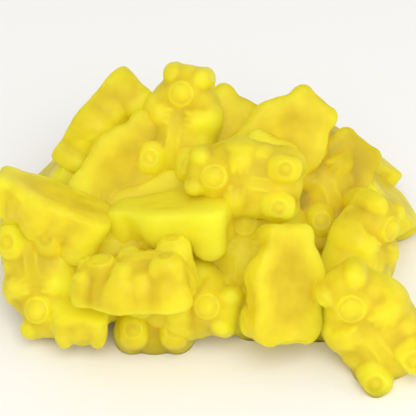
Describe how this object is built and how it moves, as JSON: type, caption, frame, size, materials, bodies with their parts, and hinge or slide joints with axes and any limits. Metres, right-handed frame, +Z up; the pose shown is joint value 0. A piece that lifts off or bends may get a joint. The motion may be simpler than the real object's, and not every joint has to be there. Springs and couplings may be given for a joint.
{
  "type": "gummy bears",
  "caption": "Loose low heap of soft translucent fruit-gum bears, lying on each other as they fell, on a flat base.",
  "frame": {"origin": "on the surface the heap lies on, at the middle of its flat underside", "axes": "+Z up, +X along the heap's width, +Y to its back"},
  "size_m": [0.0775, 0.0714, 0.0354],
  "materials": {
    "gummy": "matt translucent lemon-yellow gelatine gum"
  },
  "bodies": {
    "root": {"gummy_bears": "gummy"}
  },
  "joints": []
}
